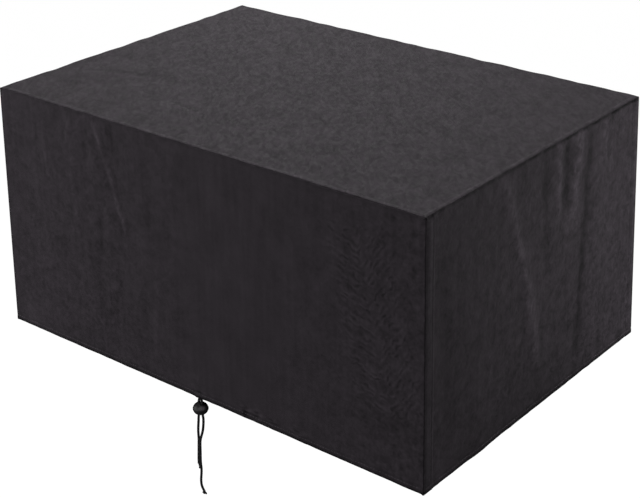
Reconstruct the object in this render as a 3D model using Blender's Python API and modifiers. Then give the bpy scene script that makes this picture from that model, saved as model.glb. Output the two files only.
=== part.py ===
# A fitted furniture cover of five cloth panels, sewn along their edges and hemmed at the foot,
# with a drawcord that leaves the front hem and passes through a round cord lock.
# Metres, +Z up. X runs along the front, the front faces -Y, and the origin lies on the underside
# of the top cloth, in its middle, where the load under the cover holds it up.

import math
from collections import namedtuple

import bmesh
import bpy
from mathutils import Matrix, Vector

# The whole cover
COVER_LENGTH = 1.22
COVER_WIDTH = 0.878
COVER_HEIGHT = 0.625

# The cloth and its sewing
CLOTH_THICKNESS = 0.0015
HEM_THICKNESS = 0.003
HEM_HEIGHT = 0.012
HEM_STEP = 0.002
SEAM_GAP = 0.0003
SEAM_STIFF_WIDTH = 0.022
FOLD_FADE = 0.25
WALL_ROWS = 9

# The cord lock and the drawcord
LOCK_CENTRE = Vector((0.0018, -0.4405, -0.6520))
LOCK_RADIUS = 0.0185
LOCK_HALF_HEIGHT = 0.0150
LOCK_ROUNDNESS = 2.2
LOCK_PROFILE_STEPS = 12
LOCK_TURN_STEPS = 28
LOCK_HOLE_OFFSET = 0.0055
CORD_DIAMETER = 0.006
CORD_CLEARANCE = 0.0003
CORD_POINT_SPACING = 0.012
ROUTE_STEPS = 8
KNOT_RADIUS = 0.0047
KNOT_HALF_LENGTH = 0.0055
KNOT_LUMPS = 0.10

# How far each hem corner stands from the top corner above it: sideways, front to back, and up.
Foot = namedtuple("Foot", "along across up")
FEET = {
    ("left", "front"): Foot(-0.009, -0.007, 0.005),
    ("right", "front"): Foot(0.015, 0.003, -0.008),
    ("right", "back"): Foot(0.032, 0.017, 0.003),
    ("left", "back"): Foot(-0.010, 0.012, 0.002),
}

# A wall panel runs from its start corner to its end corner, anticlockwise seen from above.
# A sewn-in wall stands between the two walls that it meets, and the others cover its edges.
Wall = namedtuple("Wall", "start end columns sewn_in")
WALLS = {
    "front_panel": Wall(("left", "front"), ("right", "front"), 66, False),
    "right_panel": Wall(("right", "front"), ("right", "back"), 68, True),
    "back_panel": Wall(("right", "back"), ("left", "back"), 38, False),
    "left_panel": Wall(("left", "back"), ("left", "front"), 28, True),
}
TOP_COLUMNS = 34
TOP_ROWS = 24

# A fold runs from one place on its panel to another. Places on a wall are the distance across
# from its start corner and the depth below the top. A fold's line bows sideways, its half width
# is where it has mostly died away, and its height is positive outwards.
Fold = namedtuple("Fold", "across depth end_across end_depth bow half_width height")
FOLDS = {
    "front_panel": (
        Fold(0.290, 0.000, 0.392, 0.300, 0.012, 0.021, 0.0042),
        Fold(0.335, 0.010, 0.440, 0.330, 0.010, 0.024, -0.0026),
        Fold(0.228, 0.010, 0.248, 0.210, 0.000, 0.019, 0.0026),
        Fold(0.150, 0.060, 0.140, 0.560, 0.000, 0.034, 0.0026),
        Fold(0.235, 0.150, 0.295, 0.560, 0.000, 0.026, 0.0028),
        Fold(0.326, 0.190, 0.318, 0.540, 0.000, 0.024, -0.0032),
        Fold(0.483, 0.090, 0.474, 0.270, 0.000, 0.022, -0.0022),
        Fold(0.499, 0.310, 0.487, 0.580, 0.000, 0.022, 0.0022),
        Fold(0.612, 0.560, 0.628, 0.640, 0.000, 0.030, 0.0028),
        Fold(0.060, 0.200, 0.045, 0.600, 0.000, 0.030, -0.0022),
    ),
    "right_panel": (
        Fold(0.268, -0.020, 0.468, 0.600, -0.024, 0.022, 0.0052),
        Fold(0.320, 0.020, 0.425, 0.320, -0.012, 0.024, -0.0026),
        Fold(0.440, -0.040, 0.462, 0.140, 0.000, 0.030, -0.0030),
        Fold(0.462, 0.030, 0.482, 0.320, 0.000, 0.019, -0.0026),
        Fold(0.502, -0.040, 0.513, 0.200, 0.000, 0.016, 0.0034),
        Fold(0.541, -0.050, 0.550, 0.225, 0.000, 0.014, -0.0056),
        Fold(0.612, -0.050, 0.560, 0.235, 0.000, 0.016, 0.0046),
        Fold(0.670, -0.050, 0.594, 0.620, 0.012, 0.018, -0.0054),
        Fold(0.700, -0.040, 0.690, 0.600, 0.000, 0.034, 0.0044),
        Fold(0.048, 0.060, 0.095, 0.600, 0.000, 0.036, -0.0034),
        Fold(0.846, 0.060, 0.862, 0.560, 0.000, 0.028, 0.0022),
        Fold(0.190, 0.350, 0.210, 0.700, 0.000, 0.045, 0.0034),
    ),
    "back_panel": (
        Fold(0.210, -0.020, 0.170, 0.420, 0.010, 0.034, 0.0046),
        Fold(0.520, 0.060, 0.560, 0.680, 0.000, 0.040, -0.0042),
        Fold(0.700, -0.020, 0.655, 0.380, 0.000, 0.034, 0.0040),
        Fold(0.960, 0.080, 1.020, 0.660, -0.012, 0.038, 0.0048),
    ),
    "left_panel": (
        Fold(0.180, -0.020, 0.225, 0.380, 0.010, 0.034, 0.0046),
        Fold(0.430, 0.060, 0.405, 0.680, 0.000, 0.038, -0.0042),
        Fold(0.660, -0.020, 0.620, 0.440, 0.000, 0.034, 0.0042),
    ),
}

# On the top, a place is given by X and Y from the middle, and height is positive upwards.
Wrinkle = namedtuple("Wrinkle", "x y end_x end_y bow half_width height")
WRINKLES = (
    Wrinkle(-0.560, -0.300, -0.380, -0.090, 0.006, 0.038, 0.0030),
    Wrinkle(-0.510, -0.330, -0.330, -0.150, -0.004, 0.034, -0.0016),
    Wrinkle(-0.255, -0.285, -0.075, -0.310, 0.004, 0.036, 0.0024),
    Wrinkle(0.120, 0.260, 0.400, 0.340, 0.010, 0.045, 0.0018),
)

# The strands' routes: down from the hem, straight through the lock, then hanging.
LONG_ROUTE = (
    (0.0052, -0.4405, -0.6262),
    (0.0056, -0.4405, -0.6288),
    (0.0063, -0.4405, -0.6318),
    (0.0070, -0.4405, -0.6348),
    (0.0073, -0.4405, -0.6378),
    (0.0073, -0.4405, -0.6420),
    (0.0073, -0.4405, -0.6480),
    (0.0073, -0.4405, -0.6550),
    (0.0073, -0.4405, -0.6630),
    (0.0076, -0.4403, -0.6695),
    (0.0082, -0.4399, -0.6764),
    (0.0085, -0.4400, -0.6860),
    (0.0079, -0.4404, -0.6971),
    (0.0068, -0.4410, -0.7083),
    (0.0055, -0.4419, -0.7166),
    (0.0038, -0.4431, -0.7244),
    (0.0021, -0.4443, -0.7320),
    (0.0009, -0.4450, -0.7404),
    (0.0003, -0.4452, -0.7503),
    (0.0000, -0.4451, -0.7645),
    (-0.0004, -0.4450, -0.7787),
    (-0.0008, -0.4450, -0.7929),
    (-0.0008, -0.4445, -0.8044),
    (-0.0004, -0.4439, -0.8159),
    (-0.0007, -0.4437, -0.8275),
    (-0.0015, -0.4441, -0.8390),
    (-0.0022, -0.4445, -0.8505),
    (-0.0020, -0.4442, -0.8620),
    (-0.0007, -0.4431, -0.8707),
    (0.0011, -0.4416, -0.8776),
    (0.0029, -0.4400, -0.8837),
)
SHORT_ROUTE = (
    (-0.0012, -0.4405, -0.6257),
    (-0.0017, -0.4405, -0.6285),
    (-0.0026, -0.4405, -0.6318),
    (-0.0034, -0.4405, -0.6350),
    (-0.0037, -0.4405, -0.6380),
    (-0.0037, -0.4405, -0.6420),
    (-0.0037, -0.4405, -0.6480),
    (-0.0037, -0.4405, -0.6550),
    (-0.0037, -0.4405, -0.6630),
    (-0.0042, -0.4409, -0.6700),
    (-0.0051, -0.4413, -0.6785),
    (-0.0056, -0.4414, -0.6868),
    (-0.0061, -0.4419, -0.6963),
    (-0.0066, -0.4425, -0.7072),
    (-0.0067, -0.4428, -0.7182),
    (-0.0064, -0.4427, -0.7292),
    (-0.0063, -0.4427, -0.7403),
    (-0.0063, -0.4434, -0.7513),
    (-0.0066, -0.4437, -0.7637),
    (-0.0069, -0.4441, -0.7759),
    (-0.0073, -0.4443, -0.7869),
    (-0.0079, -0.4440, -0.7980),
    (-0.0087, -0.4431, -0.8072),
)

# Colour, roughness and metallic value of each material
Finish = namedtuple("Finish", "colour roughness metallic")
FINISHES = {
    "cloth": Finish((0.050, 0.046, 0.050, 1.0), 0.85, 0.0),
    "cord": Finish((0.012, 0.011, 0.012, 1.0), 0.75, 0.0),
    "lock": Finish((0.018, 0.017, 0.018, 1.0), 0.40, 0.0),
}

COVER_COLLECTION = "furniture_cover"
CUTTER_COLLECTION = "cutters"


def clear_scene():
    for old_object in list(bpy.data.objects):
        bpy.data.objects.remove(old_object, do_unlink=True)


def new_collection(name):
    collection = bpy.data.collections.new(name)
    bpy.context.scene.collection.children.link(collection)
    return collection


def new_material(name, finish):
    material = bpy.data.materials.new(name)
    material.use_nodes = True
    shader = material.node_tree.nodes["Principled BSDF"]
    shader.inputs["Base Color"].default_value = finish.colour
    shader.inputs["Roughness"].default_value = finish.roughness
    shader.inputs["Metallic"].default_value = finish.metallic
    return material


def add_object(name, data, collection, finish=None):
    added = bpy.data.objects.new(name, data)
    collection.objects.link(added)
    if finish:
        added.data.materials.append(new_material(name + "_" + finish, FINISHES[finish]))
    return added


def ease(distance, width):
    """Rises smoothly from 0 at no distance to 1 at the given width."""
    share = min(max(distance / width, 0.0), 1.0)
    return share * share * (3.0 - 2.0 * share)


def fold_height(place, fold):
    """Height of one fold at a place (two distances) on its panel."""
    start = Vector(fold[0:2])
    end = Vector(fold[2:4])
    bow, half_width, height = fold[4:7]
    run = end - start
    along = (place - start).dot(run) / run.length_squared
    if not 0.0 < along < 1.0:
        return 0.0
    sideways = Vector((-run.y, run.x)).normalized()
    off_line = (place - start).dot(sideways) - bow * 4.0 * along * (1.0 - along)
    end_fade = ease(along, FOLD_FADE) * ease(1.0 - along, FOLD_FADE)
    return height * end_fade * math.exp(-(off_line / half_width) ** 2)


def top_corner(side, face):
    x = COVER_LENGTH / 2 if side == "right" else -COVER_LENGTH / 2
    y = COVER_WIDTH / 2 if face == "back" else -COVER_WIDTH / 2
    return Vector((x, y, -SEAM_GAP))


def hem_corner(side, face):
    foot = FEET[(side, face)]
    corner = top_corner(side, face) + Vector(foot)
    corner.z = CLOTH_THICKNESS - COVER_HEIGHT + foot.up
    return corner


def row_shares():
    """How far down the wall each row of points lies, from 0 at the top to 1 at the hem."""
    wall_height = COVER_HEIGHT - CLOTH_THICKNESS
    hem_start = 1.0 - HEM_HEIGHT / wall_height
    cloth_end = hem_start - HEM_STEP / wall_height
    shares = [cloth_end * row / WALL_ROWS for row in range(WALL_ROWS + 1)]
    return shares + [hem_start, 1.0]


def cloth_at_row(row):
    return HEM_THICKNESS if row > WALL_ROWS else CLOTH_THICKNESS


def wall_point(wall, across_share, down_share, edge_inset):
    """A point on the wall's outer face, before its folds, and the distance across to it."""
    left = top_corner(*wall.start).lerp(hem_corner(*wall.start), down_share)
    right = top_corner(*wall.end).lerp(hem_corner(*wall.end), down_share)
    span = (right - left).length
    across = edge_inset + across_share * (span - 2.0 * edge_inset)
    return left.lerp(right, across / span), across, span


def make_wall(name, wall, collection):
    shares = row_shares()
    rows = len(shares) - 1
    bm = bmesh.new()
    bmesh.ops.create_grid(bm, x_segments=wall.columns, y_segments=rows, size=0.5)
    layers = bm.verts.layers.deform.verify()
    run = (top_corner(*wall.end) - top_corner(*wall.start)).normalized()
    outward = run.cross(Vector((0.0, 0.0, 1.0)))
    for vert in bm.verts:
        row = round((0.5 - vert.co.y) * rows)
        thickness = cloth_at_row(row)
        edge_inset = thickness + SEAM_GAP if wall.sewn_in else 0.0
        point, across, span = wall_point(wall, vert.co.x + 0.5, shares[row], edge_inset)
        depth = -point.z
        place = Vector((across, depth))
        height = sum(fold_height(place, fold) for fold in FOLDS[name])
        height *= ease(across, SEAM_STIFF_WIDTH) * ease(span - across, SEAM_STIFF_WIDTH)
        height *= ease(depth, SEAM_STIFF_WIDTH)
        vert.co = point + outward * height
        vert[layers][0] = thickness / HEM_THICKNESS
    mesh = bpy.data.meshes.new(name)
    bm.to_mesh(mesh)
    bm.free()
    panel = add_object(name, mesh, collection, "cloth")
    panel.vertex_groups.new(name="cloth_layers")
    solidify = panel.modifiers.new("cloth", "SOLIDIFY")
    solidify.thickness = HEM_THICKNESS
    solidify.offset = -1.0
    solidify.vertex_group = "cloth_layers"


def make_top(collection):
    bm = bmesh.new()
    bmesh.ops.create_grid(bm, x_segments=TOP_COLUMNS, y_segments=TOP_ROWS, size=0.5)
    for vert in bm.verts:
        x = vert.co.x * COVER_LENGTH
        y = vert.co.y * COVER_WIDTH
        height = sum(fold_height(Vector((x, y)), wrinkle) for wrinkle in WRINKLES)
        height *= ease(COVER_LENGTH / 2 - abs(x), SEAM_STIFF_WIDTH)
        height *= ease(COVER_WIDTH / 2 - abs(y), SEAM_STIFF_WIDTH)
        vert.co = Vector((x, y, CLOTH_THICKNESS + height))
    mesh = bpy.data.meshes.new("top_panel")
    bm.to_mesh(mesh)
    bm.free()
    panel = add_object("top_panel", mesh, collection, "cloth")
    solidify = panel.modifiers.new("cloth", "SOLIDIFY")
    solidify.thickness = CLOTH_THICKNESS
    solidify.offset = -1.0


def lock_profile():
    """The lock's outer side from top to bottom, a squared-off round in the XZ plane."""
    points = []
    for step in range(LOCK_PROFILE_STEPS + 1):
        angle = math.pi * (0.5 - step / LOCK_PROFILE_STEPS)
        radius = LOCK_RADIUS * abs(math.cos(angle)) ** (2.0 / LOCK_ROUNDNESS)
        rise = LOCK_HALF_HEIGHT * abs(math.sin(angle)) ** (2.0 / LOCK_ROUNDNESS)
        points.append((radius, 0.0, math.copysign(rise, angle)))
    points[0] = (0.0, 0.0, LOCK_HALF_HEIGHT)
    points[-1] = (0.0, 0.0, -LOCK_HALF_HEIGHT)
    return points


def make_lock(collection, cutter_collection):
    profile = lock_profile()
    mesh = bpy.data.meshes.new("cord_lock")
    edges = [(index, index + 1) for index in range(len(profile) - 1)]
    mesh.from_pydata(profile, edges, [])
    lock = add_object("cord_lock", mesh, collection, "lock")
    lock.location = LOCK_CENTRE
    screw = lock.modifiers.new("turned", "SCREW")
    screw.steps = LOCK_TURN_STEPS
    screw.render_steps = LOCK_TURN_STEPS
    screw.use_merge_vertices = True
    screw.merge_threshold = 0.00001
    for side in (-1.0, 1.0):
        bm = bmesh.new()
        radius = CORD_DIAMETER / 2 + CORD_CLEARANCE
        bmesh.ops.create_cone(bm, cap_ends=True, segments=20, radius1=radius, radius2=radius,
                              depth=LOCK_HALF_HEIGHT * 3.0)
        cutter_mesh = bpy.data.meshes.new("cord_hole")
        bm.to_mesh(cutter_mesh)
        bm.free()
        cutter = add_object("cord_hole", cutter_mesh, cutter_collection)
        cutter.location = LOCK_CENTRE + Vector((side * LOCK_HOLE_OFFSET, 0.0, 0.0))
        cutter.hide_render = True
        cutter.display_type = "WIRE"
        hole = lock.modifiers.new("cord_hole", "BOOLEAN")
        hole.operation = "DIFFERENCE"
        hole.object = cutter


def smooth_route(route, spacing):
    """Points about one spacing apart on the smooth curve through a route's own points."""
    places = [Vector(point) for point in route]
    ends = [places[0] * 2 - places[1]] + places + [places[-1] * 2 - places[-2]]
    fine = []
    for before, start, end, after in zip(ends, ends[1:], ends[2:], ends[3:]):
        for step in range(ROUTE_STEPS):
            share = step / ROUTE_STEPS
            fine.append(0.5 * (2.0 * start + (end - before) * share
                               + (2.0 * before - 5.0 * start + 4.0 * end - after) * share ** 2
                               + (3.0 * start - before - 3.0 * end + after) * share ** 3))
    fine.append(places[-1])
    travelled = [0.0]
    for start, end in zip(fine, fine[1:]):
        travelled.append(travelled[-1] + (end - start).length)
    count = round(travelled[-1] / spacing)
    points = []
    index = 0
    for step in range(count + 1):
        target = travelled[-1] * step / count
        while index < len(fine) - 2 and travelled[index + 1] < target:
            index += 1
        part = (target - travelled[index]) / (travelled[index + 1] - travelled[index])
        points.append(fine[index].lerp(fine[index + 1], part))
    return points


def make_strand(name, route, collection):
    points = smooth_route(route, CORD_POINT_SPACING)
    curve = bpy.data.curves.new(name, "CURVE")
    curve.dimensions = "3D"
    curve.bevel_depth = CORD_DIAMETER / 2
    curve.bevel_resolution = 2
    curve.use_fill_caps = True
    spline = curve.splines.new("POLY")
    spline.points.add(len(points) - 1)
    for spline_point, point in zip(spline.points, points):
        spline_point.co = (*point, 1.0)
    add_object(name, curve, collection, "cord")
    return points[-1], (points[-1] - points[-2]).normalized()


def make_knot(name, cord_end, direction, collection):
    """An overhand knot drawn tight: a lump with the slanting ribs of its turns."""
    bm = bmesh.new()
    bmesh.ops.create_uvsphere(bm, u_segments=16, v_segments=10, radius=1.0)
    for vert in bm.verts:
        turn = math.atan2(vert.co.y, vert.co.x)
        ribs = 1.0 + KNOT_LUMPS * math.cos(2.0 * turn + 2.5 * vert.co.z) * (1.0 - vert.co.z ** 2)
        vert.co.x *= KNOT_RADIUS * ribs
        vert.co.y *= KNOT_RADIUS * ribs
        vert.co.z *= KNOT_HALF_LENGTH
    mesh = bpy.data.meshes.new(name)
    bm.to_mesh(mesh)
    bm.free()
    mesh.shade_smooth()
    knot = add_object(name, mesh, collection, "cord")
    centre = cord_end + direction * (KNOT_HALF_LENGTH + SEAM_GAP)
    knot.matrix_world = Matrix.Translation(centre) @ direction.to_track_quat("Z", "Y").to_matrix().to_4x4()


def main():
    clear_scene()
    cover = new_collection(COVER_COLLECTION)
    cutters = new_collection(CUTTER_COLLECTION)
    make_top(cover)
    for name, wall in WALLS.items():
        make_wall(name, wall, cover)
    make_lock(cover, cutters)
    for length, route in (("long", LONG_ROUTE), ("short", SHORT_ROUTE)):
        cord_end, direction = make_strand(length + "_strand", route, cover)
        make_knot(length + "_knot", cord_end, direction, cover)


main()
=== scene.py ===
import math

import bmesh
import bpy
import numpy
from mathutils import Matrix, Vector, noise


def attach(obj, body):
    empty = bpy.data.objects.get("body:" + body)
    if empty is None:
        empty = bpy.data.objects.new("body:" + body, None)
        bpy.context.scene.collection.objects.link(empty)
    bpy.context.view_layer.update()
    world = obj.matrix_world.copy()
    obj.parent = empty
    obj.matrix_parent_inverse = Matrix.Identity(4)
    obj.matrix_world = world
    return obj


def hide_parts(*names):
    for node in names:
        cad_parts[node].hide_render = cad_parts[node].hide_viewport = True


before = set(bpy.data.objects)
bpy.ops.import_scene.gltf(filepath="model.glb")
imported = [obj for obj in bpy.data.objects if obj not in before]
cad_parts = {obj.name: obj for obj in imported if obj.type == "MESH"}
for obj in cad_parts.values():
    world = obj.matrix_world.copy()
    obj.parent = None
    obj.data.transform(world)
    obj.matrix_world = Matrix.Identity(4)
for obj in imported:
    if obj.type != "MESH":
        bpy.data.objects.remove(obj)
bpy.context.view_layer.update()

# A fitted cover of five sewn panels of dark woven cloth, with a drawcord and lock at the front hem.
# Metres, Z up. The origin is on the underside of the top, in its middle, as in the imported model.

scene = bpy.context.scene
scene.view_settings.view_transform = "Standard"

cameraSettings = {
    "azimuth": 38.05,       # degrees to the right of straight in front
    "elevation": 25.46,
    "place": (2.0427, -2.5980, 1.1656),
    "lens": 83.50,          # millimetres
    "farClip": 200.0,
}

coverShape = {
    "length": 1.22,
    "width": 0.878,
    "height": 0.625,
    "topFace": 0.0015,      # the cloth's outer face above the origin
    "cloth": 0.0013,
    "topMesh": (0.055, 0.0070),     # from here on the top's mesh is even, and this wide
    "seamStiff": 0.022,     # folds die out this close to a seam
    "foldFade": 0.20,
    "feet": {               # how far each hem corner stands from its top corner
        ("left", "front"): (-0.009, -0.007, 0.005),
        ("right", "front"): (0.015, 0.003, -0.008),
        ("right", "back"): (0.032, 0.017, 0.003),
        ("left", "back"): (-0.010, 0.012, 0.002),
    },
}


def addObject(name, data):
    item = bpy.data.objects.new(name, data)
    scene.collection.objects.link(item)
    return item


def meshFrom(bm, name):
    mesh = bpy.data.meshes.new(name)
    bm.to_mesh(mesh)
    bm.free()
    return mesh


print("camera and lights")


def addCamera(settings):
    data = bpy.data.cameras.new("camera")
    data.lens = settings["lens"]
    data.sensor_fit = "HORIZONTAL"
    data.clip_end = settings["farClip"]
    camera = addObject("camera", data)
    camera.location = settings["place"]
    tilt = math.radians(90.0 - settings["elevation"])
    camera.rotation_euler = (tilt, 0.0, math.radians(settings["azimuth"]))
    scene.camera = camera


def aimedAt(place, target):
    direction = Vector(target) - Vector(place)
    return direction.to_track_quat("-Z", "Y").to_euler()


lightSettings = {
    "sun": {"place": (-1.4, 1.7, 4.6), "target": (0.0, 0.0, 0.0), "energy": 1.907, "angle": 55.0},
    "lamps": {
        "leftLamp": {"energy": 35.95, "size": 0.9, "place": (-2.1, -2.4, 0.1), "target": (-0.5, -0.44, -0.3)},
        "frontLamp": {"energy": 45.4, "size": 1.6, "place": (-0.2, -4.5, 0.6), "target": (0.0, -0.44, -0.3)},
        "rightLamp": {"energy": 18.5, "size": 0.7, "place": (1.8, 1.0, -0.15), "target": (0.62, 0.3, -0.35)},
        "backLamp": {"energy": 32.7, "size": 1.6, "place": (-1.3, 1.5, 1.5), "target": (0.0, 0.2, 0.0)},
    },
    "world": 0.089,
}


def addLights(settings):
    sun = settings["sun"]
    data = bpy.data.lights.new("sun", "SUN")
    data.energy = sun["energy"]
    data.angle = math.radians(sun["angle"])
    addObject("sun", data).rotation_euler = aimedAt(sun["place"], sun["target"])
    for name, values in settings["lamps"].items():
        data = bpy.data.lights.new(name, "AREA")
        data.shape = "DISK"
        data.size = values["size"]
        data.energy = values["energy"]
        lamp = addObject(name, data)
        lamp.location = values["place"]
        lamp.rotation_euler = aimedAt(values["place"], values["target"])
        lamp.visible_camera = False
    world = bpy.data.worlds.new("studio")
    world.use_nodes = True
    background = world.node_tree.nodes["Background"]
    background.inputs["Color"].default_value = (1.0, 1.0, 1.0, 1.0)
    background.inputs["Strength"].default_value = settings["world"]
    scene.world = world


floorSettings = {"height": -1.7, "reach": 25.0, "colour": (0.15, 0.15, 0.15), "glow": 0.90, "roughness": 0.9}


def addFloor(settings):
    bm = bmesh.new()
    bmesh.ops.create_grid(bm, x_segments=1, y_segments=1, size=settings["reach"])
    bmesh.ops.translate(bm, verts=bm.verts, vec=(0.0, 0.0, settings["height"]))
    mesh = meshFrom(bm, "floor")
    floor = addObject("floor", mesh)
    material = bpy.data.materials.new("paleFloor")
    material.use_nodes = True
    shader = material.node_tree.nodes["Principled BSDF"]
    shader.inputs["Base Color"].default_value = (*settings["colour"], 1.0)
    shader.inputs["Emission Color"].default_value = (1.0, 1.0, 1.0, 1.0)
    shader.inputs["Emission Strength"].default_value = settings["glow"]
    shader.inputs["Roughness"].default_value = settings["roughness"]
    shader.inputs["Specular IOR Level"].default_value = 0.0
    mesh.materials.append(material)
    floor.visible_diffuse = False       # its bounce would flatten the walls' shading
    floor.visible_glossy = False


addCamera(cameraSettings)
addLights(lightSettings)
addFloor(floorSettings)

print("materials")

clothFinish = {
    "colour": (0.0328, 0.0276, 0.0328),
    "yarnPitch": 0.0009,        # metres from one yarn to the next
    "specular": 0.10,
    "sheen": 0.020,
    "sheenRoughness": 0.5,
    "bump": 0.7,
    "bumpDepth": 0.0003,
}

# mottle: how strong the blotches' shades are, and relief their height
# specks: thin curling threads, pale and dark; streaks: fine upright lines; strokes: those of strokeShape
# grain: how far the blotches are stretched across and along the cloth before they are turned, in degrees
cloths = {
    "topCloth": {"mottle": 0.66, "relief": 0.60, "specks": 0.20, "streaks": 0.0, "strokes": 0.0,
                 "grain": (1.32, 2.90), "grainTurn": 38.0},
    "frontCloth": {"mottle": 0.73, "relief": 1.0, "specks": 0.13, "streaks": 0.35, "strokes": 0.24,
                   "grain": (1.33, 1.33), "grainTurn": 0.0},
    "wallCloth": {"mottle": 0.73, "relief": 1.0, "specks": 0.13, "streaks": 0.35, "strokes": 0.0,
                  "grain": (1.33, 1.33), "grainTurn": 0.0},
}

# the noises in the cloth: how many to the metre, how much finer detail, how bent
clothNoises = {
    "slubs": (300.0, 3.0, 0.0),
    "patches": (140.0, 0.0, 0.6),
    "blots": (52.0, 0.0, 0.6),
    "pale": (74.0, 0.0, 0.6),
    "dark": (58.0, 0.0, 0.6),
    "clouds": (13.0, 2.0, 0.0),
    "streaks": (80.0, 1.0, 0.0),
}

weaveLook = {
    "crossing": 0.5,            # how far the yarns' crossings stand above the yarns
    "speckWidth": 0.14,         # how far from its middle value a noise still shows as a thread
    "slubShade": 0.05,
    "blotShade": 0.80,
    "grainMiddle": 0.925,       # blotches below this are darker than the cloth, and above it paler
    "cloudShade": 0.45,
    "streakStretch": 0.07,
    "yarnShade": (0.86, 1.09),
    "darkest": 0.15,
    "roughness": (0.70, 0.90),
    "blotHeight": 4.0,
    "patchHeight": 3.0,
    "slubHeight": 0.2,
    "yarnHeight": 0.35,
    "strokeHeight": 2.5,
}

# slanting strokes on the front panel that meet in a downward point
strokeShape = {
    "across": 1.0316,
    "lean": -0.227,
    "riseLeft": -0.24,
    "riseRight": 1.12,
    "turns": 385.0,             # radians a metre
    "wobble": (0.014, 0.017),   # how far the dark specks and the blots bend them
    "left": (-0.105, -0.055),   # where they fade in or out, from the leaning middle line
    "right": (0.060, 0.120),
    "top": (-0.085, -0.045),    # and from the top seam
    "foot": (-0.490, -0.440),
    "patchy": (0.38, 0.60),     # they show where the pale specks' noise is high
    "faintest": 0.10,
}


def fillInputs(tree, node, values):
    for key, value in values.items():
        if isinstance(value, bpy.types.NodeSocket):
            tree.links.new(value, node.inputs[key])
        else:
            node.inputs[key].default_value = value


def nodeMaker(tree):
    def add(kind, inputs=None, **options):
        node = tree.nodes.new(kind)
        for option, value in options.items():
            setattr(node, option, value)
        fillInputs(tree, node, inputs or {})
        return node
    return add


def mapRange(add, value, low, high, start, end, steps="LINEAR"):
    values = {"Value": value, "From Min": low, "From Max": high, "To Min": start, "To Max": end}
    return add("ShaderNodeMapRange", values, interpolation_type=steps).outputs[0]


def vectorMaths(add, operation, values):
    return add("ShaderNodeVectorMath", values, operation=operation).outputs


def newMaterial(name):
    material = bpy.data.materials.new(name)
    material.use_nodes = True
    tree = material.node_tree
    return material, tree, nodeMaker(tree), tree.nodes["Principled BSDF"]


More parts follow.
